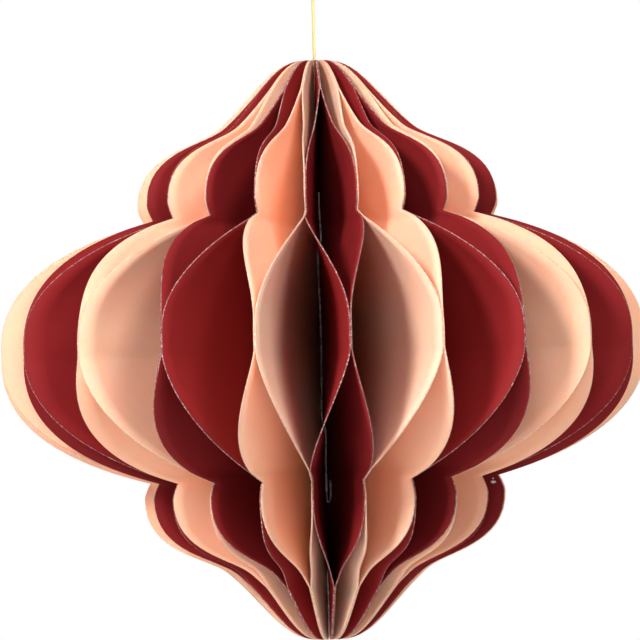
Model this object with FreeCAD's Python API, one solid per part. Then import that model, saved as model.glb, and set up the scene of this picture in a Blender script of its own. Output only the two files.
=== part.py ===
# Hanging paper ornament of folded, shaped cards: a turnip-shaped ball with a
# crown, a wide middle lobe and a tail.
#
# Each card is one sheet of coloured paper folded in half on its straight inner
# edge, so it has two leaves.  All leaves have the same outline.  The fold backs
# stand side by side in a ring around a narrow open core.  Glue holds the two
# leaves of a card together at the top, at the middle and at the bottom, and it
# holds each leaf to the next card's leaf at the two notches.  Between these
# places the leaves swing apart and form cells that open outwards.
#
# Millimetres.  +Z is up and the ball hangs on its cord.  The origin is where a
# hook bears in the hanging loop, and -Y is the front.

import FreeCAD, Part
import math
import os

Vector = FreeCAD.Vector

# Cards
card_count = 22              # alternately peach and burgundy
paper = 0.35                 # thickness of the sheet
glue_film = 0.05             # between two glued faces
first_card_azimuth = -11.97  # degrees from the front, to the right

# Outline of a leaf, from the mid-plane up; the lower half mirrors it
ball_radius = 100.2
half_height = 90.0
crown_flat_radius = 4.0      # where the crown's curve starts on the top
crown_flat_arm = 10.1
waist_radius = 30.6          # inflection between crown and shoulder
waist_height = 69.0
waist_slope = 41.6           # degrees below level
waist_arm_up = 14.8
waist_arm_down = 8.75
shoulder_radius = 56.25      # widest place above the notch
shoulder_height = 45.2
shoulder_arm = 17.2
notch_radius = 54.45
notch_height = 40.3
notch_arm = 1.4
lobe_slope = 15.1            # degrees below level, leaving the notch
lobe_arm_notch = 49.8
lobe_arm_middle = 5.7

# Glue: how far it reaches from each place, up and down
crown_glue_length = 10.0     # a card's own leaves, from the top
upper_glue_up = 9.7          # neighbouring cards, from the upper notch
upper_glue_down = 2.3
middle_glue_up = 7.0         # a card's own leaves, from the mid-plane
middle_glue_down = 2.0
lower_glue_up = 3.3          # neighbouring cards, from the lower notch
lower_glue_down = 7.7
tail_glue_length = 17.0      # a card's own leaves, from the bottom

# How fast the leaves swing apart when they leave a card's own glue
crown_swing = 2.0
upper_swing = 1.8
lower_swing = 1.3
tail_swing = 2.0

# Cord, its knots and the loop
cord_diameter = 1.0
cord_above_crown = 22.0
cord_in_core = 9.0           # from the crown down to the stopper knot
loop_knot_height = 3.6
loop_knot_radius = 1.9
loop_knot_end_radius = 1.2
stopper_height = 5.0
stopper_clearance = 0.15     # to the fold backs around it
loop_height = 24.0           # middle of the cord, above the knot
loop_leg_offset = 0.58       # of each leg where it enters the knot
# Route of the loop above its knot, left to right
loop_route = [
    (-loop_leg_offset, 0.0),
    (-loop_leg_offset, 3.6),
    (-2.8, 8.9),
    (-3.9, 15.6),
    (-3.5, loop_height),
    (3.6, loop_height),
    (4.1, 15.2),
    (2.6, 8.6),
    (loop_leg_offset, 3.4),
    (loop_leg_offset, 0.0),
]

# Clear thread sewn along the fold, through the left leaf of one card
thread_card = 1
thread_diameter = 0.6
thread_radius_out = 9.0      # distance of the seam from the axis
thread_clearance = 0.20      # to the face that it lies on
slot_clearance = 0.12        # around it, where it passes through the leaf
thread_bend_out = 1.6        # how far the bend at its lower end goes outwards
# Height, side of the leaf (1 inside its card), and share of the bend, which
# crosses from this leaf to the other one of its card
thread_route = [
    (48.5, 1, 0),
    (44.6, 1, 0),
    (40.6, 1, 0),
    (37.0, 1, 0),
    (33.0, 1, 0),
    (30.4, -1, 0),
    (26.4, -1, 0),
    (19.5, -1, 0),
    (7.0, -1, 0),
    (-4.5, -1, 0),
    (-13.0, -1, 0),
    (-17.6, -1, 0),
    (-21.9, -1, 0),
    (-24.6, 1, 0),
    (-29.4, 1, 0),
    (-33.8, 1, 0),
    (-38.5, 1, 0),
    (-43.5, 1, 0),
    (-46.0, 1, 0),
    (-47.2, 1, 0.24),
    (-47.2, 1, 0.76),
    (-46.0, 1, 1),
    (-43.6, 1, 1.08),
    (-40.4, 1, 1),
]

# Worked out from the sizes above
pitch = 360.0 / card_count
half_pitch = math.radians(pitch) / 2
leaf_offset = (paper + glue_film) / 2         # a glued leaf's middle, from the glue
core_radius = (paper + glue_film) / math.tan(half_pitch)
fold_radius = core_radius + paper             # inner end of the gap between leaves
root_corners = (0, 3, 4, 7)                   # of a card's section, beside its fold
crown_glue_end = half_height - crown_glue_length
upper_band = (notch_height - upper_glue_down, notch_height + upper_glue_up)
middle_band = (-middle_glue_down, middle_glue_up)
lower_band = (-notch_height - lower_glue_down, -notch_height + lower_glue_up)
tail_glue_end = -half_height + tail_glue_length
loop_bearing = loop_height - cord_diameter / 2
loop_knot_top = -loop_bearing
loop_knot_bottom = loop_knot_top - loop_knot_height
crown_z = loop_knot_bottom - cord_above_crown
middle_z = crown_z - half_height


def bezier_point(points, t):
    """A point of a cubic curve in the plane of radius and height."""
    s = 1 - t
    weights = (s ** 3, 3 * s * s * t, 3 * s * t * t, t ** 3)
    return [sum(w * p[i] for w, p in zip(weights, points)) for i in (0, 1)]


def outline_curves():
    """The leaf's outline from the top to the mid-plane: crown, shoulder, notch, lobe."""
    down = math.radians(waist_slope)
    out = math.radians(lobe_slope)
    top = (crown_flat_radius, half_height)
    waist = (waist_radius, waist_height)
    shoulder = (shoulder_radius, shoulder_height)
    notch = (notch_radius, notch_height)
    crown_curve = [
        top,
        (top[0] + crown_flat_arm, half_height),
        (waist[0] - waist_arm_up * math.cos(down), waist[1] + waist_arm_up * math.sin(down)),
        waist,
    ]
    shoulder_curve = [
        waist,
        (waist[0] + waist_arm_down * math.cos(down), waist[1] - waist_arm_down * math.sin(down)),
        (shoulder_radius, shoulder_height + shoulder_arm),
        shoulder,
    ]
    notch_curve = [
        shoulder,
        (shoulder_radius, shoulder_height - notch_arm),
        (notch[0] + notch_arm / 2, notch[1] + notch_arm),
        notch,
    ]
    lobe_curve = [
        notch,
        (notch[0] + lobe_arm_notch * math.cos(out), notch[1] - lobe_arm_notch * math.sin(out)),
        (ball_radius, lobe_arm_middle),
        (ball_radius, 0.0),
    ]
    return [crown_curve, shoulder_curve, notch_curve, lobe_curve]


outline = outline_curves()


def outline_radius(height):
    """Radius of the outline at a height from the mid-plane."""
    wanted = abs(height)
    curve = next(c for c in outline if wanted >= c[3][1] - 1e-9)
    low, high = 0.0, 1.0
    for _ in range(60):
        t = (low + high) / 2
        if bezier_point(curve, t)[1] > wanted:
            low = t
        else:
            high = t
    return bezier_point(curve, (low + high) / 2)[0]


def swing(height):
    """How far a leaf has left its card's middle: 0 there, 1 at the next card."""
    if height >= crown_glue_end or height <= tail_glue_end:
        return 0.0
    if height > upper_band[1]:
        share = (crown_glue_end - height) / (crown_glue_end - upper_band[1])
        return 1 - (1 - share) ** crown_swing
    if height >= upper_band[0]:
        return 1.0
    if height > middle_band[1]:
        return ((height - middle_band[1]) / (upper_band[0] - middle_band[1])) ** upper_swing
    if height >= middle_band[0]:
        return 0.0
    if height > lower_band[1]:
        return ((middle_band[0] - height) / (middle_band[0] - lower_band[1])) ** lower_swing
    if height >= lower_band[0]:
        return 1.0
    share = (height - tail_glue_end) / (lower_band[0] - tail_glue_end)
    return 1 - (1 - share) ** tail_swing


def place(outward, sideways, height):
    """A point of the card that faces the front, from its own directions."""
    return Vector(sideways, -outward, middle_z + height)


def leaf_tip(height):
    """Middle of the right leaf's edge, outwards and sideways, and the leaf's direction."""
    radius = outline_radius(height)
    glued = math.asin(leaf_offset / radius)
    angle = glued + swing(height) * (half_pitch - 2 * glued)
    tip = (radius * math.cos(angle), radius * math.sin(angle))
    length = math.hypot(tip[0] - core_radius, tip[1] - leaf_offset)
    direction = ((tip[0] - core_radius) / length, (tip[1] - leaf_offset) / length)
    return tip, direction


def leaf_middle(height, outward):
    """Sideways place of the right leaf's middle at a distance from the axis."""
    tip, direction = leaf_tip(height)
    return leaf_offset + (outward - core_radius) * direction[1] / direction[0]


def section_corners(height):
    """The card's section at one height: eight corners, outwards and sideways."""
    tip, direction = leaf_tip(height)
    across = (-direction[1] * paper / 2, direction[0] * paper / 2)
    half_gap = glue_film / 2
    right = [
        (core_radius, half_gap + paper),
        (tip[0] + across[0], tip[1] + across[1]),
        (tip[0] - across[0], tip[1] - across[1]),
        (fold_radius, half_gap),
    ]
    left = [(u, -v) for u, v in reversed(right)]
    return right + left


def stations(start, end, count, ease=1.0):
    """Heights from start towards end, closer together at the start when ease is over 1."""
    return [start + (end - start) * (i / count) ** ease for i in range(count)]


def levels():
    """Heights of the card's sections: at each corner and crease, and evenly between."""
    return (
        stations(half_height, crown_glue_end, 3, 2.0)
        + stations(crown_glue_end, upper_band[1], 6)
        + stations(upper_band[1], notch_height, 2)
        + stations(notch_height, upper_band[0], 1)
        + stations(upper_band[0], middle_band[1], 5)
        + stations(middle_band[1], middle_band[0], 1)
        + stations(middle_band[0], lower_band[1], 5)
        + stations(lower_band[1], -notch_height, 1)
        + stations(-notch_height, lower_band[0], 1)
        + stations(lower_band[0], tail_glue_end, 5)
        + stations(-half_height, tail_glue_end, 3, 2.0)[::-1]
    )


def flat_face(points):
    return Part.Face(Part.makePolygon(points + points[:1]))


def strip_faces(upper, lower, first, second):
    """The wall between two neighbouring corners of two sections.

    A twisted wall is folded on the diagonal from the root of the upper section to
    the tip of the lower one, so both sides of a leaf keep its thickness.
    """
    square = [upper[first], upper[second], lower[second], lower[first]]
    normal = (square[1] - square[0]).cross(square[3] - square[0]).normalize()
    if abs(normal.dot(square[2] - square[0])) < 1e-7:
        return [flat_face(square)]
    if first in root_corners:
        halves = [(0, 1, 2), (0, 2, 3)]
    else:
        halves = [(0, 1, 3), (1, 2, 3)]
    return [flat_face([square[i] for i in half]) for half in halves]


def make_card():
    """One folded card at the front, from the walls between its sections."""
    sections = [[place(u, v, z) for u, v in section_corners(z)] for z in levels()]
    faces = [flat_face(sections[0]), flat_face(sections[-1])]
    for upper, lower in zip(sections, sections[1:]):
        for corner in range(8):
            faces += strip_faces(upper, lower, corner, (corner + 1) % 8)
    shell = Part.Shell(faces)
    shell.sewShape()
    solid = Part.Solid(shell)
    if solid.Volume < 0:
        solid.reverse()
    return solid


def rounded_path(points):
    """Straight runs joined by tangent arcs, as large as the shorter run allows."""
    edges = []
    radii = []
    start = points[0]
    for before, corner, after in zip(points, points[1:], points[2:]):
        back = (before - corner).normalize()
        on = (after - corner).normalize()
        turn = math.pi - back.getAngle(on)
        reach = 0.45 * min((before - corner).Length, (after - corner).Length)
        radius = reach / math.tan(turn / 2)
        radii.append(radius)
        first, last = corner + back * reach, corner + on * reach
        inward = (back + on).normalize()
        middle = corner + inward * (radius / math.cos(turn / 2) - radius)
        edges.append(Part.LineSegment(start, first).toShape())
        edges.append(Part.Arc(first, middle, last).toShape())
        start = last
    edges.append(Part.LineSegment(start, points[-1]).toShape())
    return Part.Wire(edges), radii


def tube(points, diameter, name):
    """A round tube along a rounded route, checked against its section times its length."""
    path, radii = rounded_path(points)
    direction = points[1] - points[0]
    profile = Part.Wire(Part.makeCircle(diameter / 2, points[0], direction))
    solid = path.makePipeShell([profile], True, True)
    expected = math.pi * diameter ** 2 / 4 * path.Length
    print(name, "length %.1f, volume over section times length %.4f, radii %s" % (
        path.Length, solid.Volume / expected, " ".join("%.1f" % r for r in radii)))
    return solid


def revolved(profile):
    """A turned solid about Z from a closed list of edges."""
    return Part.Face(Part.Wire(profile)).revolve(Vector(), Vector(0, 0, 1), 360)


def knot(top, height, radius, end_radius):
    """Two turns of a tied cord, as two rounded wraps with level ends."""
    bottom = top - height
    middle = (top + bottom) / 2
    waist = 0.85 * radius
    upper, lower = (top + middle) / 2, (bottom + middle) / 2

    def at(r, z):
        return Vector(r, 0, z)

    return revolved([
        Part.LineSegment(at(0, bottom), at(end_radius, bottom)).toShape(),
        Part.Arc(at(end_radius, bottom), at(radius, lower), at(waist, middle)).toShape(),
        Part.Arc(at(waist, middle), at(radius, upper), at(end_radius, top)).toShape(),
        Part.LineSegment(at(end_radius, top), at(0, top)).toShape(),
        Part.LineSegment(at(0, top), at(0, bottom)).toShape(),
    ])


def make_hanging_cord():
    bottom = crown_z - cord_in_core
    return Part.makeCylinder(cord_diameter / 2, loop_knot_bottom - bottom, Vector(0, 0, bottom))


def make_hanging_loop():
    """The loop stands in the plane of X and Z and enters its knot with both legs."""
    points = [Vector(x, 0, loop_knot_top + z) for x, z in loop_route]
    return tube(points, cord_diameter, "hanging_loop")


def section_below(height):
    """Height of the section under a place: near the fold, a leaf has its direction."""
    return max(level for level in levels() if level <= height)


def thread_points():
    """The seam's route on the left leaf of its card, in that card's own directions."""
    off_leaf = paper / 2 + thread_clearance + thread_diameter / 2
    points = []
    for height, side, bend in thread_route:
        outward = thread_radius_out + bend * thread_bend_out
        middle = leaf_middle(section_below(height), outward)
        sideways = (1 - bend) * (side * off_leaf - middle) + bend * (middle - off_leaf)
        points.append(place(outward, sideways, height))
    return points


def make_thread():
    return tube(thread_points(), thread_diameter, "binding_thread")


def make_sewn_card(card):
    """The card that the thread passes through, with a round slot at each passage."""
    points = thread_points()
    radius = thread_diameter / 2 + slot_clearance
    slots = []
    for i in range(len(points) - 1):
        if thread_route[i][1] != thread_route[i + 1][1]:
            along = points[i + 1] - points[i]
            slots.append(Part.makeCylinder(radius, along.Length, points[i], along))
    return card.cut(Part.makeCompound(slots)).Solids[0]


def turned(shape, card):
    """A copy of a front shape at the place of one card, counted to the right."""
    copy = shape.copy()
    copy.rotate(Vector(), Vector(0, 0, 1), first_card_azimuth + card * pitch)
    return copy


def card_name(card):
    colour = "peach" if card % 2 == 0 else "burgundy"
    return "%s_card_%02d" % (colour, card // 2 + 1)


def make_parts():
    front_card = make_card()
    sewn_card = make_sewn_card(front_card)
    parts = {}
    for card in range(card_count):
        shape = sewn_card if card == thread_card else front_card
        parts[card_name(card)] = turned(shape, card)
    parts["binding_thread"] = turned(make_thread(), thread_card)
    parts["hanging_cord"] = make_hanging_cord()
    parts["loop_knot"] = knot(
        loop_knot_top, loop_knot_height, loop_knot_radius, loop_knot_end_radius)
    parts["hanging_loop"] = make_hanging_loop()
    parts["stopper_knot"] = knot(
        crown_z - cord_in_core, stopper_height, core_radius - stopper_clearance, cord_diameter)
    return parts


os.makedirs("parts", exist_ok=True)
for name, shape in make_parts().items():
    shape.exportStep("parts/%s.step" % name)
    print("%s %s solids %d volume %.1f valid %s" % (
        name, shape.ShapeType, len(shape.Solids), shape.Volume, shape.isValid()))
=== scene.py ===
"""Looks of a hanging paper ornament: 22 folded cards of burgundy and peach paper,
glued leaf to leaf round a core, on a gold twisted cord with a loop.

Everything is in metres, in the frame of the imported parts: the origin is where a
hook bears in the loop, +Z is up and -Y is the front.
"""

import math

import bmesh
import bpy
from bpy.props import FloatProperty, FloatVectorProperty, IntProperty, PointerProperty
from mathutils import Matrix, Vector


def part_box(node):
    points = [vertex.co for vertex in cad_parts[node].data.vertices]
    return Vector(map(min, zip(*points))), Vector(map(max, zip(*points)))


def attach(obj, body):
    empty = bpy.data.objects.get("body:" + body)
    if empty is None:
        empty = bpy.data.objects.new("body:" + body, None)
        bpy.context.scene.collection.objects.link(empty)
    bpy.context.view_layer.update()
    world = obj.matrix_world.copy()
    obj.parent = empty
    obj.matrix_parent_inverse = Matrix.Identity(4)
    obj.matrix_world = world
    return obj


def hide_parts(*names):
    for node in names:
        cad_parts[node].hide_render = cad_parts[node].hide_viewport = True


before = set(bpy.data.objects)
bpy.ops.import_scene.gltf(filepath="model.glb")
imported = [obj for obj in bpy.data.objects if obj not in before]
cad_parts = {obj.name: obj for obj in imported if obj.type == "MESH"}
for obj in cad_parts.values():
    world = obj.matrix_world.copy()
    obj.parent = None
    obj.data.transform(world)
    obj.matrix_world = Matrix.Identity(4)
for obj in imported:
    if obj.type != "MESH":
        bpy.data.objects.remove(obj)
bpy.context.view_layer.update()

bl_info = {
    "name": "Folded paper ornament",
    "version": (1, 0, 0),
    "blender": (4, 5, 0),
    "location": "View3D > Sidebar > Ornament",
    "description": "Folds, hangs and lights a two-colour paper ornament",
    "category": "Object",
}

MM = 0.001

card_low, card_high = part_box("peach_card_01")
MIDDLE_Z = (card_low[2] + card_high[2]) / 2


# Sizes and colours that a user would change


class CardSettings(bpy.types.PropertyGroup):
    """Sizes of the folded cards, measured from the ball's mid-plane."""

    count: IntProperty(name="Cards", description="Folded cards round the core", default=22, min=6)
    paper: FloatProperty(
        name="Paper", description="Thickness of the sheet",
        default=0.35 * MM, subtype="DISTANCE", unit="LENGTH")
    glue_film: FloatProperty(
        name="Glue", description="Gap between two glued faces",
        default=0.05 * MM, subtype="DISTANCE", unit="LENGTH")
    first_azimuth: FloatProperty(
        name="First card", description="From the front to the right",
        default=math.radians(-11.97), subtype="ANGLE", unit="ROTATION")
    columns: IntProperty(
        name="Columns", description="Mesh columns across one leaf", default=14, min=4)
    fold_columns: IntProperty(
        name="Fold columns", description="Mesh columns across half the fold", default=2, min=1)
    buckle: FloatProperty(
        name="Buckle", description="How far a leaf strays from a straight pull",
        default=0.35 * MM, subtype="DISTANCE", unit="LENGTH")
    seed: IntProperty(name="Seed", description="Of the paper's small waves", default=7)


class PaperSettings(bpy.types.PropertyGroup):
    """Colours of the card."""

    peach: FloatVectorProperty(
        name="Peach", description="Face of the pale card", subtype="COLOR", size=3,
        default=(0.97, 0.53, 0.36), min=0, max=1)
    burgundy: FloatVectorProperty(
        name="Burgundy", description="Face of the dark card", subtype="COLOR", size=3,
        default=(0.215, 0.0135, 0.0150), min=0, max=1)
    peach_core: FloatVectorProperty(
        name="Peach core", description="Cut edge of the pale card", subtype="COLOR", size=3,
        default=(0.60, 0.34, 0.23), min=0, max=1)
    burgundy_core: FloatVectorProperty(
        name="Burgundy core", description="Cut edge of the dark card", subtype="COLOR", size=3,
        default=(0.20, 0.06, 0.05), min=0, max=1)


class CordSettings(bpy.types.PropertyGroup):
    """The gold cord and its two knots."""

    diameter: FloatProperty(
        name="Diameter", description="Over its strands",
        default=1.0 * MM, subtype="DISTANCE", unit="LENGTH")
    lay_length: FloatProperty(
        name="Lay", description="Length of one turn of a strand",
        default=3.0 * MM, subtype="DISTANCE", unit="LENGTH")
    strands: IntProperty(name="Strands", description="Strands twisted together", default=3, min=2)
    gold: FloatVectorProperty(
        name="Gold", description="Metallic yarn on its ridges", subtype="COLOR", size=3,
        default=(0.86, 0.70, 0.36), min=0, max=1)
    # Painted shade: the darker gold that colours the grooves between the film's ridges
    gold_groove_shade: FloatVectorProperty(
        name="Gold groove shade", description="Metallic yarn between its ridges",
        subtype="COLOR", size=3, default=(0.55, 0.38, 0.12), min=0, max=1)


class StageSettings(bpy.types.PropertyGroup):
    """Floor, light and camera."""

    floor_drop: FloatProperty(
        name="Floor", description="Below the lowest point of the ball",
        default=0.30, subtype="DISTANCE", unit="LENGTH")
    floor_size: FloatProperty(
        name="Floor size", description="From its middle to a side",
        default=4.0, subtype="DISTANCE", unit="LENGTH")
    camera_distance: FloatProperty(
        name="Camera", description="From the ball's axis",
        default=1.28, subtype="DISTANCE", unit="LENGTH")
    camera_elevation: FloatProperty(
        name="Elevation", description="Of the camera over the mid-plane",
        default=math.radians(-1.35), subtype="ANGLE", unit="ROTATION")
    camera_roll: FloatProperty(
        name="Roll", description="Of the camera, clockwise",
        default=math.radians(1.5), subtype="ANGLE", unit="ROTATION")
    world_light: FloatProperty(name="World", description="Strength of the even light", default=0.01)


# Node trees


def sockets(tree, names, direction="INPUT"):
    """Adds named sockets to a tree from pairs of name and socket type."""
    for name, kind in names:
        tree.interface.new_socket(name=name, in_out=direction, socket_type=kind)


def put(tree, kind, **settings):
    """A new node with its settings."""
    node = tree.nodes.new(kind)
    for name, value in settings.items():
        setattr(node, name, value)
    return node


def feed(tree, socket, value):
    """Links a socket, or sets it to a plain value."""
    if isinstance(value, bpy.types.NodeSocket):
        tree.links.new(value, socket)
    else:
        socket.default_value = value


class Sums:
    """Writes arithmetic into a tree as Math nodes."""

    def __init__(self, tree):
        self.tree = tree

    def math(self, operation, *values, clamp=False):
        node = put(self.tree, "ShaderNodeMath", operation=operation, use_clamp=clamp)
        for socket, value in zip(node.inputs, values):
            feed(self.tree, socket, value)
        return node.outputs[0]

    def add(self, a, b):
        return self.math("ADD", a, b)

    def sub(self, a, b):
        return self.math("SUBTRACT", a, b)

    def mul(self, a, b):
        return self.math("MULTIPLY", a, b)

    def share(self, value, start, end):
        """0 at start and 1 at end, clamped."""
        node = put(self.tree, "ShaderNodeMapRange", clamp=True)
        for name, x in (("Value", value), ("From Min", start), ("From Max", end)):
            feed(self.tree, node.inputs[name], x)
        return node.outputs["Result"]

    def blend(self, share, a, b):
        return self.add(a, self.mul(share, self.sub(b, a)))

    def vector(self, x, y, z):
        node = put(self.tree, "ShaderNodeCombineXYZ")
        for socket, value in zip(node.inputs, (x, y, z)):
            feed(self.tree, socket, value)
        return node.outputs[0]


def new_geometry_tree(name, inputs):
    tree = bpy.data.node_groups.new(name, "GeometryNodeTree")
    sockets(tree, inputs)
    sockets(tree, [("Geometry", "NodeSocketGeometry")], "OUTPUT")
    return tree, put(tree, "NodeGroupInput"), put(tree, "NodeGroupOutput")


def use_tree(piece, tree, values):
    """Adds the tree to a piece as a modifier, with its inputs set by identifier."""
    modifier = piece.modifiers.new(tree.name, "NODES")
    modifier.node_group = tree
    for item in tree.interface.items_tree:
        if item.in_out == "INPUT" and item.name in values:
            modifier[item.identifier] = values[item.name]
    return modifier


def empty_piece(name, data=None):
    piece = bpy.data.objects.new(name, data or bpy.data.meshes.new(name))
    bpy.context.scene.collection.objects.link(piece)
    return piece


def plain_mesh(piece):
    """Turns a piece's evaluated result into its own mesh, without modifiers."""
    evaluated = piece.evaluated_get(bpy.context.evaluated_depsgraph_get())
    mesh = bpy.data.meshes.new_from_object(evaluated)
    mesh.name = piece.name
    piece.modifiers.clear()
    piece.data = mesh
    return piece


def point_outwards(mesh):
    """Turns a closed mesh's faces outwards."""
    shape = bmesh.new()
    shape.from_mesh(mesh)
    bmesh.ops.recalc_face_normals(shape, faces=shape.faces)
    if shape.calc_volume(signed=True) < 0:
        bmesh.ops.reverse_faces(shape, faces=shape.faces)
    shape.to_mesh(mesh)
    shape.free()


# Outline of a leaf and where it is glued, in millimetres from the mid-plane

CROWN_CURVE = [(4.0, 90.0), (14.1, 90.0), (19.53, 78.83), (30.6, 69.0)]
SHOULDER_CURVE = [(30.6, 69.0), (37.14, 63.19), (56.25, 62.4), (56.25, 45.2)]
NOTCH_CURVE = [(56.25, 45.2), (56.25, 43.8), (55.15, 41.7), (54.45, 40.3)]
LOBE_CURVE = [(54.45, 40.3), (102.53, 27.33), (100.2, 5.7), (100.2, 0.0)]
OUTLINE = [(CROWN_CURVE, 14), (SHOULDER_CURVE, 16), (NOTCH_CURVE, 4), (LOBE_CURVE, 34)]

CROWN_GLUE_END = 80.0
UPPER_BAND = (38.0, 50.0)
MIDDLE_BAND = (-2.0, 7.0)
LOWER_BAND = (-48.0, -37.0)
TAIL_GLUE_END = -73.0
CREASES = (CROWN_GLUE_END, *UPPER_BAND, *MIDDLE_BAND, *LOWER_BAND, TAIL_GLUE_END)
LEVEL_SPACING = 0.45         # a level this near a crease gives way to it


def bezier_point(points, t):
    s = 1 - t
    weights = (s ** 3, 3 * s * s * t, 3 * s * t * t, t ** 3)
    return [sum(w * p[i] for w, p in zip(weights, points)) for i in (0, 1)]


def point_at_height(height):
    """The outline's radius and height where it has a height."""
    wanted = abs(height)
    curve = next(c for c, _ in OUTLINE if wanted >= c[3][1] - 1e-9)
    low, high = 0.0, 1.0
    for _ in range(50):
        t = (low + high) / 2
        if bezier_point(curve, t)[1] > wanted:
            low = t
        else:
            high = t
    return (bezier_point(curve, low)[0], height)


def leaf_levels():
    """Points of the outline from the top to the bottom, with each corner and crease."""
    half = [tuple(bezier_point(c, i / n)) for c, n in OUTLINE for i in range(n)]
    half.append(tuple(LOBE_CURVE[3]))
    corners = {c[0][1] for c, _ in OUTLINE}
    whole = half + [(r, -z) for r, z in reversed(half[:-1])]
    kept = [
        p for p in whole
        if abs(p[1]) in corners or min(abs(p[1] - c) for c in CREASES) > LEVEL_SPACING
    ]
    kept += [point_at_height(c) for c in CREASES]
    return sorted(kept, key=lambda p: (-p[1], p[0] if p[1] > 0 else -p[0]))


def outline_profile():
    """The leaf's outline as a line of vertices, radius along X, for the tree to read."""
    levels = leaf_levels()
    mesh = bpy.data.meshes.new("leaf_outline")
    mesh.from_pydata(
        [(r * MM, 0, z * MM) for r, z in levels],
        [(i, i + 1) for i in range(len(levels) - 1)], [])
    return empty_piece("leaf_outline", mesh), len(levels)


# Folded cards

CARD_INPUTS = [
    ("Outline", "NodeSocketObject"),
    ("Levels", "NodeSocketInt"),
    ("Columns", "NodeSocketInt"),
    ("Fold Columns", "NodeSocketInt"),
    ("Azimuth", "NodeSocketFloat"),
    ("Half Pitch", "NodeSocketFloat"),
    ("Paper", "NodeSocketFloat"),
    ("Glue Film", "NodeSocketFloat"),
    ("Middle Shift", "NodeSocketFloat"),
    ("End Shift", "NodeSocketFloat"),
    ("Upper Right Shift", "NodeSocketFloat"),
    ("Upper Left Shift", "NodeSocketFloat"),
    ("Lower Right Shift", "NodeSocketFloat"),
    ("Lower Left Shift", "NodeSocketFloat"),
    ("Buckle", "NodeSocketFloat"),
    ("Seed", "NodeSocketFloat"),
    ("Card", "NodeSocketMaterial"),
    ("Cut Edge", "NodeSocketMaterial"),
]
# How fast a leaf leaves its own card's glue, at the crown, over and under the
# middle, and at the tail
CROWN_SWING = 2.0
UPPER_SWING = 1.8
LOWER_SWING = 1.3
TAIL_SWING = 2.0

HALF_MIX = 5 * MM                        # upper and lower shifts blend within this
OWN_MIX = (35 * MM, 55 * MM)             # and middle and end shifts between these
BUCKLE_SCALE = 28.0                      # of the noise that waves the leaves
SIDE_SPREAD = 0.05                       # keeps a card's two leaves' waves apart
WELD = 0.002 * MM


def swing_sum(sums, height):
    """How far a leaf has left its card's middle: 0 there, 1 at the next card."""
    def mm(value):
        return value * MM

    def left(start, end, power):
        rest = sums.sub(1.0, sums.share(height, mm(start), mm(end)))
        return sums.sub(1.0, sums.math("POWER", rest, power))

    def taken(start, end, power):
        return sums.math("POWER", sums.share(height, mm(start), mm(end)), power)

    crown = left(CROWN_GLUE_END, UPPER_BAND[1], CROWN_SWING)
    upper = taken(MIDDLE_BAND[1], UPPER_BAND[0], UPPER_SWING)
    lower = taken(MIDDLE_BAND[0], LOWER_BAND[1], LOWER_SWING)
    tail = left(TAIL_GLUE_END, LOWER_BAND[0], TAIL_SWING)
    above = sums.math("MINIMUM", crown, upper)
    below = sums.math("MINIMUM", lower, tail)
    return sums.math("MAXIMUM", above, below)


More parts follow.
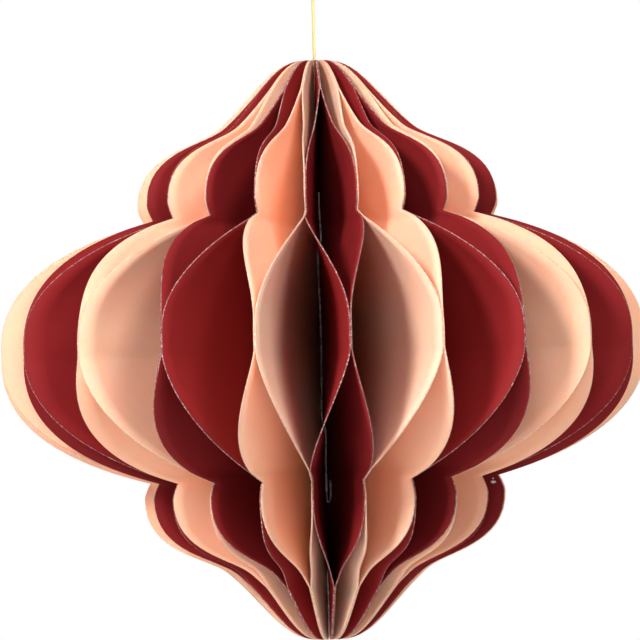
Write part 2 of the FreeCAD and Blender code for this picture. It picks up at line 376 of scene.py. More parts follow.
def card_tree():
    """One folded card: a sheet laid out on a grid, then given its paper's thickness.

    Columns run from the left leaf's edge over the fold to the right leaf's edge, and
    rows from the top to the bottom.
    """
    tree, start, end = new_geometry_tree("Folded card", CARD_INPUTS)
    sums = Sums(tree)
    given = start.outputs
    half_columns = sums.add(given["Columns"], given["Fold Columns"])
    columns = sums.add(sums.mul(half_columns, 2.0), 1.0)
    grid = put(tree, "GeometryNodeMeshGrid")
    feed(tree, grid.inputs["Vertices X"], columns)
    feed(tree, grid.inputs["Vertices Y"], given["Levels"])

    index = put(tree, "GeometryNodeInputIndex").outputs[0]
    column = sums.math("FLOOR", sums.math("DIVIDE", sums.add(index, 0.5), given["Levels"]))
    row = sums.sub(index, sums.mul(column, given["Levels"]))
    from_fold = sums.sub(column, half_columns)
    side = sums.math("SIGN", from_fold)
    steps = sums.math("ABSOLUTE", from_fold)
    turned = sums.math("DIVIDE", steps, given["Fold Columns"], clamp=True)
    along = sums.math(
        "DIVIDE", sums.sub(steps, given["Fold Columns"]), given["Columns"], clamp=True)

    outline = put(tree, "GeometryNodeObjectInfo")
    feed(tree, outline.inputs["Object"], given["Outline"])
    sample = put(tree, "GeometryNodeSampleIndex", data_type="FLOAT_VECTOR", domain="POINT")
    feed(tree, sample.inputs["Geometry"], outline.outputs["Geometry"])
    position = put(tree, "GeometryNodeInputPosition").outputs[0]
    feed(tree, sample.inputs["Value"], position)
    feed(tree, sample.inputs["Index"], row)
    edge_point = put(tree, "ShaderNodeSeparateXYZ")
    feed(tree, edge_point.inputs[0], sample.outputs["Value"])
    radius, height = edge_point.outputs["X"], edge_point.outputs["Z"]
    swing = swing_sum(sums, height)

    leaf_offset = sums.mul(sums.add(given["Paper"], given["Glue Film"]), 0.5)
    both = sums.add(given["Paper"], given["Glue Film"])
    core = sums.math("DIVIDE", both, sums.math("TANGENT", given["Half Pitch"]))
    fold_back = sums.add(core, sums.mul(given["Paper"], 0.5))
    glued = sums.math("ARCSINE", sums.math("DIVIDE", leaf_offset, radius))
    swung = sums.add(glued, sums.mul(swing, sums.sub(given["Half Pitch"], sums.mul(glued, 2.0))))

    right = sums.math("GREATER_THAN", side, 0.0)
    high = sums.share(height, -HALF_MIX, HALF_MIX)
    outer = sums.share(sums.math("ABSOLUTE", height), *OWN_MIX)
    notch_shift = sums.blend(
        high,
        sums.blend(right, given["Lower Left Shift"], given["Lower Right Shift"]),
        sums.blend(right, given["Upper Left Shift"], given["Upper Right Shift"]))
    own_shift = sums.blend(outer, given["Middle Shift"], given["End Shift"])
    shift = sums.blend(swing, own_shift, notch_shift)
    angle = sums.add(sums.mul(side, swung), shift)

    quarter = sums.mul(turned, math.pi / 2)
    root_out = sums.add(
        fold_back, sums.mul(leaf_offset, sums.sub(1.0, sums.math("COSINE", quarter))))
    root_side = sums.mul(side, sums.mul(leaf_offset, sums.math("SINE", quarter)))
    tip_out = sums.mul(radius, sums.math("COSINE", angle))
    tip_side = sums.mul(radius, sums.math("SINE", angle))
    outward = sums.blend(along, root_out, tip_out)
    sideways = sums.blend(along, root_side, tip_side)

    wave = put(tree, "ShaderNodeTexNoise", noise_dimensions="4D", normalize=False)
    place = sums.vector(outward, sums.mul(side, SIDE_SPREAD), height)
    for name, value in (
            ("Vector", place), ("W", given["Seed"]), ("Scale", BUCKLE_SCALE), ("Detail", 1.0)):
        feed(tree, wave.inputs[name], value)
    free = sums.mul(sums.mul(swing, sums.sub(1.0, swing)), 4.0)
    belly = sums.mul(sums.mul(along, sums.sub(1.0, along)), 4.0)
    waves = sums.mul(sums.mul(wave.outputs[0], given["Buckle"]), sums.mul(free, belly))
    sideways = sums.add(sideways, waves)

    sin, cos = (sums.math(name, given["Azimuth"]) for name in ("SINE", "COSINE"))
    x = sums.add(sums.mul(sideways, cos), sums.mul(outward, sin))
    y = sums.sub(sums.mul(sideways, sin), sums.mul(outward, cos))
    z = sums.add(height, MIDDLE_Z)
    placed = put(tree, "GeometryNodeSetPosition")
    feed(tree, placed.inputs["Geometry"], grid.outputs["Mesh"])
    feed(tree, placed.inputs["Position"], sums.vector(x, y, z))

    stored = put(tree, "GeometryNodeStoreNamedAttribute", data_type="FLOAT2", domain="CORNER")
    stored.inputs["Name"].default_value = "UVMap"
    feed(tree, stored.inputs["Geometry"], placed.outputs["Geometry"])
    feed(tree, stored.inputs["Value"], sums.vector(outward, height, 0.0))

    normal = put(tree, "GeometryNodeInputNormal").outputs[0]
    half_paper = sums.mul(given["Paper"], -0.5)
    back = put(tree, "GeometryNodeSetPosition")
    feed(tree, back.inputs["Geometry"], stored.outputs["Geometry"])
    offset = put(tree, "ShaderNodeVectorMath", operation="SCALE")
    feed(tree, offset.inputs[0], normal)
    feed(tree, offset.inputs["Scale"], half_paper)
    feed(tree, back.inputs["Offset"], offset.outputs[0])
    front = put(tree, "GeometryNodeExtrudeMesh", mode="FACES")
    front.inputs["Individual"].default_value = False
    feed(tree, front.inputs["Mesh"], back.outputs["Geometry"])
    feed(tree, front.inputs["Offset Scale"], given["Paper"])
    turned_back = put(tree, "GeometryNodeFlipFaces")
    feed(tree, turned_back.inputs["Mesh"], back.outputs["Geometry"])
    joined = put(tree, "GeometryNodeJoinGeometry")
    feed(tree, joined.inputs[0], front.outputs["Mesh"])
    feed(tree, joined.inputs[0], turned_back.outputs["Mesh"])
    merged = put(tree, "GeometryNodeMergeByDistance")
    merged.inputs["Distance"].default_value = WELD
    feed(tree, merged.inputs["Geometry"], joined.outputs["Geometry"])
    faces = put(tree, "FunctionNodeBooleanMath", operation="NOT")
    feed(tree, faces.inputs[0], front.outputs["Side"])
    smooth = put(tree, "GeometryNodeSetShadeSmooth")
    feed(tree, smooth.inputs["Geometry"], merged.outputs["Geometry"])
    feed(tree, smooth.inputs["Shade Smooth"], faces.outputs[0])
    real = put(tree, "GeometryNodeRealizeInstances")
    feed(tree, real.inputs["Geometry"], smooth.outputs["Geometry"])
    faced = put(tree, "GeometryNodeSetMaterial")
    feed(tree, faced.inputs["Geometry"], real.outputs["Geometry"])
    feed(tree, faced.inputs["Material"], given["Card"])
    cut = put(tree, "GeometryNodeSetMaterial")
    feed(tree, cut.inputs["Geometry"], faced.outputs["Geometry"])
    feed(tree, cut.inputs["Selection"], front.outputs["Side"])
    feed(tree, cut.inputs["Material"], given["Cut Edge"])
    feed(tree, end.inputs["Geometry"], cut.outputs["Geometry"])
    return tree


# How far, in degrees to the right, the hand glued ball strays from an even pitch:
# each card's own glue at its middle and at its ends, and the glue to the card on
# its left at the upper and the lower notch.  Cards that aren't named are even.
MIDDLE_STRAY = {
    -4: -1.2, -3: -2.3, -2: -1.0, -1: 0.65, 0: 0.86, 1: 0.4, 2: -0.2, 3: -0.75, 4: -0.6}
END_STRAY = {}
UPPER_STRAY = {-2: -1.3, -1: -0.5, 0: 0.7, 1: -0.1, 2: -0.4, 3: -1.4, 4: -1.4, 5: -1.0}
LOWER_STRAY = {-2: -2.4, -1: -1.5, 0: -0.1, 1: -0.3, 2: -0.55, 3: -0.55, 4: -0.8, 5: -0.3}


def stray(table, number, count):
    """A card's stray in radians; cards on the left are counted back from the front."""
    number %= count
    if number > count // 2:
        number -= count
    return math.radians(table.get(number, 0.0))


def card_name(number):
    colour = "peach" if number % 2 == 0 else "burgundy"
    return colour, "%s_card_%02d" % (colour, number // 2 + 1)


class ORNAMENT_OT_cards(bpy.types.Operator):
    """Folds the cards and sets them round the core"""

    bl_idname = "ornament.cards"
    bl_label = "Fold cards"

    def execute(self, context):
        sizes = context.scene.ornament_cards
        papers = context.scene.ornament_paper
        outline, levels = outline_profile()
        tree = card_tree()
        faces = {
            "peach": card_material("Peach card", papers.peach, 1.0, 0.22 * MM),
            "burgundy": card_material(
                "Burgundy card", papers.burgundy, 0.3, 0.08 * MM, GLUE_SPOTS),
        }
        edges = {
            "peach": cut_edge_material("Peach cut edge", papers.peach_core),
            "burgundy": cut_edge_material("Burgundy cut edge", papers.burgundy_core),
        }
        pitch = math.tau / sizes.count
        for number in range(sizes.count):
            colour, node = card_name(number)
            piece = empty_piece(node + "_folded")
            use_tree(piece, tree, {
                "Outline": outline,
                "Levels": levels,
                "Columns": sizes.columns,
                "Fold Columns": sizes.fold_columns,
                "Azimuth": sizes.first_azimuth + number * pitch,
                "Half Pitch": pitch / 2,
                "Paper": sizes.paper,
                "Glue Film": sizes.glue_film,
                "Middle Shift": stray(MIDDLE_STRAY, number, sizes.count),
                "End Shift": stray(END_STRAY, number, sizes.count),
                "Upper Left Shift": stray(UPPER_STRAY, number, sizes.count),
                "Upper Right Shift": stray(UPPER_STRAY, number + 1, sizes.count),
                "Lower Left Shift": stray(LOWER_STRAY, number, sizes.count),
                "Lower Right Shift": stray(LOWER_STRAY, number + 1, sizes.count),
                "Buckle": sizes.buckle,
                "Seed": float(sizes.seed + number),
                "Card": faces[colour],
                "Cut Edge": edges[colour],
            })
            plain_mesh(piece)
            point_outwards(piece.data)
            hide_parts(node)
            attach(piece, "root")
        bpy.data.objects.remove(outline)
        return {"FINISHED"}


# Materials

REACH_BY_COLOUR = (1.0, 0.45, 0.25)       # of light inside the sheet, as shares
FILM_PITCH = 0.42 * MM                   # of the gold film round a strand
GLUE_COLOUR = (0.85, 0.72, 0.68)
# Dried drops by the lower notch of a card on the right
GLUE_SPOTS = [
    ((51.79 * MM, -11.37 * MM, MIDDLE_Z - 42.4 * MM), 0.42 * MM, 1.8),
    ((51.67 * MM, -11.34 * MM, MIDDLE_Z - 41.3 * MM), 0.22 * MM, 1.6),
]


def new_shader_group(name, inputs, outputs):
    tree = bpy.data.node_groups.new(name, "ShaderNodeTree")
    sockets(tree, inputs)
    sockets(tree, outputs, "OUTPUT")
    return tree, put(tree, "NodeGroupInput"), put(tree, "NodeGroupOutput")


def noise(tree, scale, detail):
    """Noise fixed to the piece."""
    place = put(tree, "ShaderNodeTexCoord").outputs["Object"]
    node = put(tree, "ShaderNodeTexNoise")
    feed(tree, node.inputs["Vector"], place)
    node.inputs["Scale"].default_value = scale
    node.inputs["Detail"].default_value = detail
    return node.outputs[0]


def card_grain_group():
    """Fine fibre and soft mottling of smooth card, for every paper material."""
    if "Card grain" in bpy.data.node_groups:
        return bpy.data.node_groups["Card grain"]
    tree, start, end = new_shader_group("Card grain", [
        ("Color", "NodeSocketColor"),
        ("Mottling", "NodeSocketFloat"),
        ("Roughness", "NodeSocketFloat"),
        ("Grain", "NodeSocketFloat"),
    ], [
        ("Color", "NodeSocketColor"),
        ("Roughness", "NodeSocketFloat"),
        ("Normal", "NodeSocketVector"),
    ])
    sums = Sums(tree)
    cloud, fibre = noise(tree, 55.0, 3.0), noise(tree, 2600.0, 3.0)
    drift = sums.mul(sums.sub(cloud, 0.5), start.outputs["Mottling"])
    speck = sums.mul(sums.sub(fibre, 0.5), sums.mul(start.outputs["Mottling"], 0.8))
    colour = put(tree, "ShaderNodeHueSaturation")
    feed(tree, colour.inputs["Color"], start.outputs["Color"])
    feed(tree, colour.inputs["Value"], sums.add(1.0, sums.add(drift, speck)))
    feed(tree, end.inputs["Color"], colour.outputs[0])
    rough = sums.add(start.outputs["Roughness"], sums.mul(sums.sub(cloud, 0.5), 0.12))
    feed(tree, end.inputs["Roughness"], rough)
    bump = put(tree, "ShaderNodeBump")
    bump.inputs["Distance"].default_value = 0.02 * MM
    feed(tree, bump.inputs["Strength"], start.outputs["Grain"])
    feed(tree, bump.inputs["Height"], fibre)
    feed(tree, end.inputs["Normal"], bump.outputs[0])
    return tree


def torn_fibre_group():
    """Pale fibres that the knife has torn up, for every cut edge."""
    if "Torn fibres" in bpy.data.node_groups:
        return bpy.data.node_groups["Torn fibres"]
    tree, start, end = new_shader_group("Torn fibres", [
        ("Core", "NodeSocketColor"),
        ("Fibre", "NodeSocketColor"),
        ("Amount", "NodeSocketFloat"),
    ], [("Color", "NodeSocketColor")])
    sums = Sums(tree)
    torn = sums.share(noise(tree, 2200.0, 2.0), 0.50, 0.72)
    mix = put(tree, "ShaderNodeMix", data_type="RGBA")
    feed(tree, mix.inputs["Factor"], sums.mul(torn, start.outputs["Amount"]))
    feed(tree, mix.inputs["A"], start.outputs["Core"])
    feed(tree, mix.inputs["B"], start.outputs["Fibre"])
    feed(tree, end.inputs["Color"], mix.outputs["Result"])
    return tree


def new_material(name):
    material = bpy.data.materials.new(name)
    material.use_nodes = True
    tree = material.node_tree
    return material, tree, tree.nodes["Principled BSDF"]


def use_group(tree, group, values):
    node = put(tree, "ShaderNodeGroup", node_tree=group)
    for name, value in values.items():
        feed(tree, node.inputs[name], value)
    return node.outputs


def card_material(name, colour, glow, reach, spots=()):
    """The dyed face of a card: smooth, semi-matte, with a faint fibre.

    The glow is how much light goes into the sheet, and the reach how far it gets
    there, longest for red.  A spot is a place, a radius and how wide it is for its
    height, where a drop of glue has dried.
    """
    material, tree, shader = new_material(name)
    faces = use_group(tree, card_grain_group(), {
        "Color": (*colour, 1.0), "Mottling": 0.10, "Roughness": 0.58, "Grain": 0.5})
    base, rough = faces["Color"], faces["Roughness"]
    if spots:
        sums = Sums(tree)
        dried = dried_glue(tree, sums, spots)
        mix = put(tree, "ShaderNodeMix", data_type="RGBA")
        feed(tree, mix.inputs["Factor"], dried)
        feed(tree, mix.inputs["A"], base)
        mix.inputs["B"].default_value = (*GLUE_COLOUR, 1.0)
        base, rough = mix.outputs["Result"], sums.blend(dried, rough, 0.25)
    feed(tree, shader.inputs["Base Color"], base)
    feed(tree, shader.inputs["Roughness"], rough)
    feed(tree, shader.inputs["Normal"], faces["Normal"])
    shader.inputs["Specular IOR Level"].default_value = 0.06
    shader.inputs["Subsurface Weight"].default_value = glow
    shader.inputs["Subsurface Radius"].default_value = REACH_BY_COLOUR
    shader.inputs["Subsurface Scale"].default_value = reach
    return material


def dried_glue(tree, sums, spots):
    """How much dried glue covers a place, ragged at its rim."""
    place = put(tree, "ShaderNodeTexCoord").outputs["Object"]
    ragged = sums.mul(sums.sub(noise(tree, 1500.0, 2.0), 0.5), 1.6)
    cover = 0.0
    for middle, radius, wide in spots:
        away = put(tree, "ShaderNodeVectorMath", operation="SUBTRACT")
        feed(tree, away.inputs[0], place)
        away.inputs[1].default_value = middle
        size = put(tree, "ShaderNodeVectorMath", operation="MULTIPLY")
        feed(tree, size.inputs[0], away.outputs[0])
        size.inputs[1].default_value = (1 / radius / wide, 1 / radius / wide, 1 / radius)
        length = put(tree, "ShaderNodeVectorMath", operation="LENGTH")
        feed(tree, length.inputs[0], size.outputs[0])
        edge = sums.add(length.outputs["Value"], ragged)
        cover = sums.math("MAXIMUM", cover, sums.share(edge, 1.0, 0.7))
    return cover


def cut_edge_material(name, core):
    """The cut edge: the card's core, with bright torn fibres here and there."""
    material, tree, shader = new_material(name)
    edge = use_group(tree, torn_fibre_group(), {
        "Core": (*core, 1.0), "Fibre": (1.0, 0.93, 0.87, 1.0), "Amount": 0.6})
    feed(tree, shader.inputs["Base Color"], edge["Color"])
    shader.inputs["Roughness"].default_value = 0.8
    shader.inputs["Specular IOR Level"].default_value = 0.03
    return material


def gold_material(name, bright, groove_shade):
    """Metallic yarn: film wound round a core, so each strand has fine slanting ridges. The grooves
    between the ridges are coloured a darker gold as painted shade, with random wear over it.
    """
    material, tree, shader = new_material(name)
    sums = Sums(tree)
    along, around = (
        put(tree, "ShaderNodeAttribute", attribute_name=part).outputs["Fac"]
        for part in ("along", "around"))
    turns = sums.add(sums.math("DIVIDE", along, FILM_PITCH), around)
    ridge = sums.add(sums.mul(sums.math("SINE", sums.mul(turns, math.tau)), 0.5), 0.5)
    worn = sums.mul(noise(tree, 900.0, 2.0), 0.5)
    mix = put(tree, "ShaderNodeMix", data_type="RGBA")
    # Painted shade: the grooves between the ridges take the darker gold, and the noise adds random
    # wear
    feed(tree, mix.inputs["Factor"], sums.add(sums.mul(ridge, 0.6), worn))
    mix.inputs["A"].default_value = (*groove_shade, 1.0)
    mix.inputs["B"].default_value = (*bright, 1.0)
    feed(tree, shader.inputs["Base Color"], mix.outputs["Result"])
    bump = put(tree, "ShaderNodeBump")
    bump.inputs["Distance"].default_value = 0.03 * MM
    bump.inputs["Strength"].default_value = 0.6
    feed(tree, bump.inputs["Height"], ridge)
    feed(tree, shader.inputs["Normal"], bump.outputs[0])
    feed(tree, shader.inputs["Roughness"], sums.blend(worn, 0.30, 0.50))
    shader.inputs["Metallic"].default_value = 0.8
    return material


def thread_material():
    """Clear nylon thread, milky where it is rubbed."""
    material, tree, shader = new_material("Clear thread")
    sums = Sums(tree)
    rubbed = sums.share(noise(tree, 260.0, 2.0), 0.42, 0.68)
    mix = put(tree, "ShaderNodeMix", data_type="RGBA")
    feed(tree, mix.inputs["Factor"], rubbed)
    mix.inputs["A"].default_value = (0.95, 0.94, 0.93, 1.0)
    mix.inputs["B"].default_value = (0.85, 0.78, 0.76, 1.0)
    feed(tree, shader.inputs["Base Color"], mix.outputs["Result"])
    feed(tree, shader.inputs["Roughness"], sums.blend(rubbed, 0.15, 0.40))
    feed(tree, shader.inputs["Transmission Weight"], sums.blend(rubbed, 0.60, 0.25))
    shader.inputs["IOR"].default_value = 1.45
    return material


# Cord and thread

# Across (along X) and height of the cord's route, in millimetres: up from the
# knot in the core, through the loop's knot, round the loop and back into its knot
CORD_ROUTE = [
    (0.0, -58.1), (0.0, -48.0), (0.0, -37.0), (0.0, -27.1),
    (-0.58, -23.5), (-0.58, -19.9), (-2.8, -14.6), (-3.9, -7.9), (-3.5, 0.5),
    (3.6, 0.5), (4.1, -8.3), (2.6, -14.9), (0.58, -20.1), (0.58, -23.5), (0.3, -26.0),
]
CORD_STEP = 0.16 * MM        # between rings of a strand's mesh
RING_SIDES = 10
KNOT_POINTS = 36


def route_mesh(name, points, closed=False):
    """A NURBS curve through its control points, and the points along it as a mesh."""
    data = bpy.data.curves.new(name, "CURVE")
    data.dimensions = "3D"
    data.resolution_u = 24
    spline = data.splines.new("NURBS")
    spline.points.add(len(points) - 1)
    for point, place in zip(spline.points, points):
        point.co = (*place, 1.0)
    spline.order_u = 3
    spline.use_endpoint_u = not closed
    spline.use_cyclic_u = closed
    holder = empty_piece(name, data)
    evaluated = holder.evaluated_get(bpy.context.evaluated_depsgraph_get())
    mesh = bpy.data.meshes.new_from_object(evaluated)
    bpy.data.objects.remove(holder)
    return mesh


def route_length(mesh):
    ends = [[mesh.vertices[i].co for i in edge.vertices] for edge in mesh.edges]
    return sum((a - b).length for a, b in ends)


CORD_INPUTS = [
    ("Route", "NodeSocketObject"),
    ("Diameter", "NodeSocketFloat"),
    ("Strands", "NodeSocketInt"),
    ("Turns", "NodeSocketFloat"),
    ("Step", "NodeSocketFloat"),
    ("Yarn", "NodeSocketMaterial"),
]


def cord_tree():
    """Strands laid round a route, each a round yarn."""
    tree, start, end = new_geometry_tree("Twisted cord", CORD_INPUTS)
    sums = Sums(tree)
    given = start.outputs
    route = put(tree, "GeometryNodeObjectInfo")
    feed(tree, route.inputs["Object"], given["Route"])
    curve = put(tree, "GeometryNodeMeshToCurve")
    feed(tree, curve.inputs[0], route.outputs["Geometry"])
    even = put(tree, "GeometryNodeResampleCurve", mode="LENGTH")
    feed(tree, even.inputs["Curve"], curve.outputs[0])
    feed(tree, even.inputs["Length"], given["Step"])
    copies = put(tree, "GeometryNodeDuplicateElements", domain="SPLINE")
    feed(tree, copies.inputs["Geometry"], even.outputs[0])
    feed(tree, copies.inputs["Amount"], given["Strands"])

    along = put(tree, "GeometryNodeSplineParameter").outputs["Factor"]
    share = sums.math("DIVIDE", copies.outputs["Duplicate Index"], given["Strands"])
    angle = sums.mul(sums.add(sums.mul(along, given["Turns"]), share), math.tau)
    tangent = put(tree, "GeometryNodeInputTangent").outputs[0]
    normal = put(tree, "GeometryNodeInputNormal").outputs[0]
    across = put(tree, "ShaderNodeVectorMath", operation="CROSS_PRODUCT")
    feed(tree, across.inputs[0], tangent)
    feed(tree, across.inputs[1], normal)
    # Touching strands of a cord of radius 1 have radius s/(1+s), with s the sine
    # of half the angle between two of them
    lean = sums.math("SINE", sums.math("DIVIDE", math.pi, given["Strands"]))
    radius = sums.mul(given["Diameter"], 0.5)
    strand = sums.mul(radius, sums.math("DIVIDE", lean, sums.add(lean, 1.0)))
    away = sums.sub(radius, strand)
    moved = []
    for direction, part in ((normal, "COSINE"), (across.outputs[0], "SINE")):
        scaled = put(tree, "ShaderNodeVectorMath", operation="SCALE")
        feed(tree, scaled.inputs[0], direction)
        feed(tree, scaled.inputs["Scale"], sums.mul(away, sums.math(part, angle)))
        moved.append(scaled.outputs[0])
    offset = put(tree, "ShaderNodeVectorMath", operation="ADD")
    feed(tree, offset.inputs[0], moved[0])
    feed(tree, offset.inputs[1], moved[1])
    laid = put(tree, "GeometryNodeSetPosition")
    feed(tree, laid.inputs["Geometry"], copies.outputs["Geometry"])
    feed(tree, laid.inputs["Offset"], offset.outputs[0])
    marked = put(
        tree, "GeometryNodeStoreNamedAttribute", data_type="FLOAT", domain="POINT")
    marked.inputs["Name"].default_value = "along"
    feed(tree, marked.inputs["Geometry"], laid.outputs["Geometry"])
    feed(tree, marked.inputs["Value"], put(tree, "GeometryNodeSplineParameter").outputs["Length"])
    ring = put(tree, "GeometryNodeCurvePrimitiveCircle")
    ring.inputs["Resolution"].default_value = RING_SIDES
    feed(tree, ring.inputs["Radius"], strand)
    turning = put(
        tree, "GeometryNodeStoreNamedAttribute", data_type="FLOAT", domain="POINT")
    turning.inputs["Name"].default_value = "around"
    feed(tree, turning.inputs["Geometry"], ring.outputs["Curve"])
    feed(tree, turning.inputs["Value"], put(tree, "GeometryNodeSplineParameter").outputs["Factor"])
    tubes = put(tree, "GeometryNodeCurveToMesh")
    tubes.inputs["Fill Caps"].default_value = True
    feed(tree, tubes.inputs["Curve"], marked.outputs["Geometry"])
    feed(tree, tubes.inputs["Profile Curve"], turning.outputs["Geometry"])
    smooth = put(tree, "GeometryNodeSetShadeSmooth")
    feed(tree, smooth.inputs["Geometry"], tubes.outputs[0])
    real = put(tree, "GeometryNodeRealizeInstances")
    feed(tree, real.inputs["Geometry"], smooth.outputs[0])
    dressed = put(tree, "GeometryNodeSetMaterial")
    feed(tree, dressed.inputs["Geometry"], real.outputs[0])
    feed(tree, dressed.inputs["Material"], given["Yarn"])
    feed(tree, end.inputs["Geometry"], dressed.outputs[0])
    return tree


def twisted_cord(name, tree, points, sizes, material, closed=False):
    """A twisted cord along control points, with its route."""
    mesh = route_mesh(name + "_route", points, closed)
    route = empty_piece(name + "_route", mesh)
    piece = empty_piece(name)
    use_tree(piece, tree, {
        "Route": route,
        "Diameter": sizes.diameter,
        "Strands": sizes.strands,
        "Turns": float(round(route_length(mesh) / sizes.lay_length)),
        "Step": CORD_STEP,
        "Yarn": material,
    })
    plain_mesh(piece)
    point_outwards(piece.data)
    bpy.data.objects.remove(route)
    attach(piece, "root")
    return piece, mesh


def knot_points(node, diameter):
    """A tied overhand knot that fills its node's box, as a closed line on a ring."""
    low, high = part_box(node)
    middle = (low[2] + high[2]) / 2
    reach = (high[0] - low[0]) / 2 - diameter / 2
    rise = (high[2] - low[2]) / 2 - diameter / 2
    points = []
    for i in range(KNOT_POINTS):
        t = math.tau * i / KNOT_POINTS
        out = reach * (0.68 + 0.32 * math.cos(3 * t))
        points.append((
            out * math.cos(2 * t), out * math.sin(2 * t), middle + rise * math.sin(3 * t)))
    return points


class ORNAMENT_OT_cord(bpy.types.Operator):
    """Lays the gold cord through its knots and round the loop"""

    bl_idname = "ornament.cord"
    bl_label = "Lay cord"

    def execute(self, context):
        sizes = context.scene.ornament_cord
        tree = cord_tree()
        material = gold_material("Gold cord", sizes.gold, sizes.gold_groove_shade)
        for node in ("loop_knot", "stopper_knot"):
            knot, _ = twisted_cord(
                node + "_tied", tree, knot_points(node, sizes.diameter), sizes, material, True)
            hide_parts(node)
        points = [(x * MM, 0.0, z * MM) for x, z in CORD_ROUTE]
        cord, route = twisted_cord("gold_cord_laid", tree, points, sizes, material)
        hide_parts("hanging_cord", "hanging_loop")
        return {"FINISHED"}


# The last run of the clear thread, between two leaves at the tail, in millimetres:
# across, to the front, and height over the mid-plane
TAIL_RUN = [(-0.10, -7.70, -68.6), (-0.02, -7.76, -75.0), (0.0, -7.76, -82.0), (0.0, -7.76, -89.8)]
TAIL_RUN_DIAMETER = 0.4 * MM


def thread_run(name, points, diameter):
    """A round thread along control points."""
    data = bpy.data.curves.new(name, "CURVE")
    data.dimensions = "3D"
    data.bevel_depth = diameter / 2
    data.bevel_resolution = 2
    data.use_fill_caps = True
    spline = data.splines.new("NURBS")
    spline.points.add(len(points) - 1)
    for point, place in zip(spline.points, points):
        point.co = (*place, 1.0)
    spline.order_u = 3
    spline.use_endpoint_u = True
    holder = empty_piece(name, data)
    mesh = bpy.data.meshes.new_from_object(
        holder.evaluated_get(bpy.context.evaluated_depsgraph_get()))
    bpy.data.objects.remove(holder)
    piece = empty_piece(name, mesh)
    mesh.polygons.foreach_set("use_smooth", [True] * len(mesh.polygons))
    point_outwards(mesh)
    return piece


class ORNAMENT_OT_thread(bpy.types.Operator):
    """Finishes the clear thread that is sewn along the fold"""

    bl_idname = "ornament.thread"
    bl_label = "Finish thread"

    def execute(self, context):
        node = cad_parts["binding_thread"]
        node.data.materials.clear()
        clear = thread_material()
        node.data.materials.append(clear)
        points = [(x * MM, y * MM, z * MM + MIDDLE_Z) for x, y, z in TAIL_RUN]
        tail = thread_run("binding_thread_tail", points, TAIL_RUN_DIAMETER)
        tail.data.materials.append(clear)
        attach(tail, "root")
        return {"FINISHED"}


# Stage

PICTURE = 640.0
BALL_MIDDLE_PIXEL = (322.0, 349.7)
PIXELS_PER_METRE = 3212.0    # at the ball's axis
FLOOR_COLOUR = (0.93, 0.93, 0.93)
FLOOR_PALENESS = 0.7         # added light that only the camera sees

LAMP_DISTANCE = 1.6          # from the ball's middle
# Name, degrees from the front to the right, degrees up, size in metres, watts
SOFTBOXES = [
    ("Left softbox", -34, 27, 0.40, 21.0),
    ("Low left softbox", -42, -2, 0.40, 6.0),
    ("Front softbox", -9, 42, 0.50, 7.5),
    ("Right softbox", 34, 48, 0.50, 13.5),
    ("Low right softbox", 42, -2, 0.40, 3.5),
]


def around(azimuth, elevation, distance):
    """A place at a distance from the ball's middle."""
    across, up = math.radians(azimuth), math.radians(elevation)
    level = distance * math.cos(up)
    return (
        level * math.sin(across), -level * math.cos(across), MIDDLE_Z + distance * math.sin(up))


def area_light(name, place, target, size, power):
    data = bpy.data.lights.new(name, "AREA")
    data.shape = "DISK"
    data.size = size
    data.energy = power
    lamp = empty_piece(name, data)
    lamp.location = place
    lamp.rotation_euler = (Vector(target) - Vector(place)).to_track_quat("-Z", "Y").to_euler()
    return lamp


def stage_material(name, colour, paleness):
    """A matt floor, made paler for the camera alone so that it lights nothing."""
    material, tree, shader = new_material(name)
    shader.inputs["Base Color"].default_value = (*colour, 1.0)
    shader.inputs["Roughness"].default_value = 0.9
    shader.inputs["Emission Color"].default_value = (1.0, 1.0, 1.0, 1.0)
    seen = put(tree, "ShaderNodeLightPath").outputs["Is Camera Ray"]
    feed(tree, shader.inputs["Emission Strength"], Sums(tree).mul(seen, paleness))
    return material


def white_world(strength):
    """Even light on the ball; white behind it, in mirrors and through clear things."""
    world = bpy.data.worlds.new("Studio")
    world.use_nodes = True
    bpy.context.scene.world = world
    tree = world.node_tree
    tree.nodes.clear()
    sums = Sums(tree)
    path = put(tree, "ShaderNodeLightPath")
    seen = sums.math("MAXIMUM", path.outputs["Is Camera Ray"], sums.math(
        "MAXIMUM", path.outputs["Is Glossy Ray"], path.outputs["Is Transmission Ray"]))
    background = put(tree, "ShaderNodeBackground")
    background.inputs["Color"].default_value = (1.0, 1.0, 1.0, 1.0)
    feed(tree, background.inputs["Strength"], sums.blend(seen, strength, 1.0))
    out = put(tree, "ShaderNodeOutputWorld")
    feed(tree, out.inputs["Surface"], background.outputs[0])


def place_camera(stage):
    elevation, roll = stage.camera_elevation, stage.camera_roll
    back = Vector((0, -math.cos(elevation), math.sin(elevation)))
    level_up = Vector((0, math.sin(elevation), math.cos(elevation)))
    level_right = Vector((1, 0, 0))
    right = math.cos(roll) * level_right - math.sin(roll) * level_up
    up = math.sin(roll) * level_right + math.cos(roll) * level_up
    data = bpy.data.cameras.new("Camera")
    camera = empty_piece("Camera", data)
    turn = Matrix((right, up, back)).transposed().to_4x4()
    camera.matrix_world = Matrix.Translation(
        Vector((0, 0, MIDDLE_Z)) + back * stage.camera_distance) @ turn
    data.sensor_width = 36.0
    data.lens = data.sensor_width * PIXELS_PER_METRE * stage.camera_distance / PICTURE
    data.shift_x = (PICTURE / 2 - BALL_MIDDLE_PIXEL[0]) / PICTURE
    data.shift_y = (BALL_MIDDLE_PIXEL[1] - PICTURE / 2) / PICTURE
    data.clip_start = 0.05
    data.clip_end = 20.0
    bpy.context.scene.camera = camera


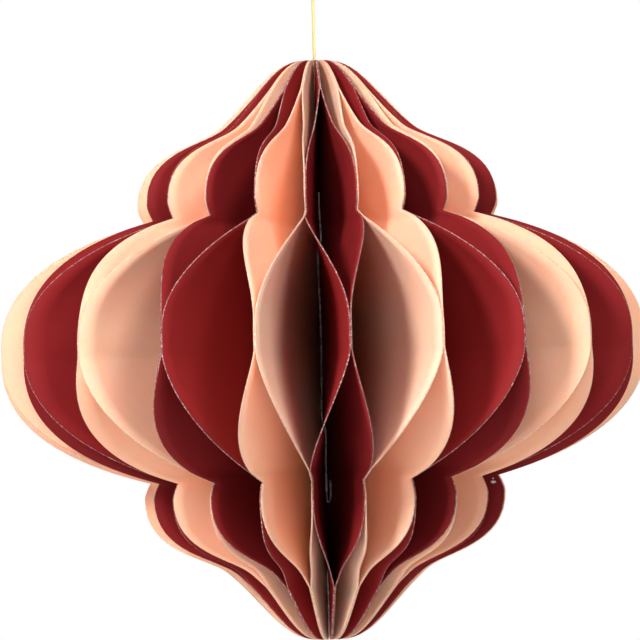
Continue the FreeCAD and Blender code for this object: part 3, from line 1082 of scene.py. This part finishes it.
class ORNAMENT_OT_stage(bpy.types.Operator):
    """Sets the floor, the lights and the camera"""

    bl_idname = "ornament.stage"
    bl_label = "Set stage"

    def execute(self, context):
        stage = context.scene.ornament_stage
        scene = context.scene
        scene.view_settings.view_transform = "Standard"
        mesh = bpy.data.meshes.new("floor")
        half = stage.floor_size
        z = card_low[2] - stage.floor_drop
        mesh.from_pydata(
            [(-half, -half, z), (half, -half, z), (half, half, z), (-half, half, z)],
            [], [(0, 1, 2, 3)])
        floor = empty_piece("floor", mesh)
        mesh.materials.append(stage_material("Pale floor", FLOOR_COLOUR, FLOOR_PALENESS))
        white_world(stage.world_light)
        middle = (0, 0, MIDDLE_Z)
        for name, azimuth, elevation, size, power in SOFTBOXES:
            area_light(name, around(azimuth, elevation, LAMP_DISTANCE), middle, size, power)
        place_camera(stage)
        return {"FINISHED"}


class ORNAMENT_PT_panel(bpy.types.Panel):
    """Sizes, colours and steps of the ornament"""

    bl_idname = "ORNAMENT_PT_panel"
    bl_label = "Ornament"
    bl_space_type = "VIEW_3D"
    bl_region_type = "UI"
    bl_category = "Ornament"

    def draw(self, context):
        for group in (name for name, _ in SETTINGS):
            settings = getattr(context.scene, group)
            box = self.layout.box()
            for name in settings.__annotations__:
                box.prop(settings, name)
        for step in STEPS:
            self.layout.operator(step.bl_idname)


SETTINGS = [
    ("ornament_cards", CardSettings),
    ("ornament_paper", PaperSettings),
    ("ornament_cord", CordSettings),
    ("ornament_stage", StageSettings),
]
STEPS = [ORNAMENT_OT_cards, ORNAMENT_OT_cord, ORNAMENT_OT_thread, ORNAMENT_OT_stage]


def register():
    for name, group in SETTINGS:
        bpy.utils.register_class(group)
        setattr(bpy.types.Scene, name, PointerProperty(type=group))
    for step in STEPS:
        bpy.utils.register_class(step)
    bpy.utils.register_class(ORNAMENT_PT_panel)


def unregister():
    bpy.utils.unregister_class(ORNAMENT_PT_panel)
    for step in reversed(STEPS):
        bpy.utils.unregister_class(step)
    for name, group in reversed(SETTINGS):
        delattr(bpy.types.Scene, name)
        bpy.utils.unregister_class(group)


def main():
    register()
    bpy.ops.ornament.cards()
    bpy.ops.ornament.cord()
    bpy.ops.ornament.thread()
    bpy.ops.ornament.stage()


if __name__ == "__main__":
    main()
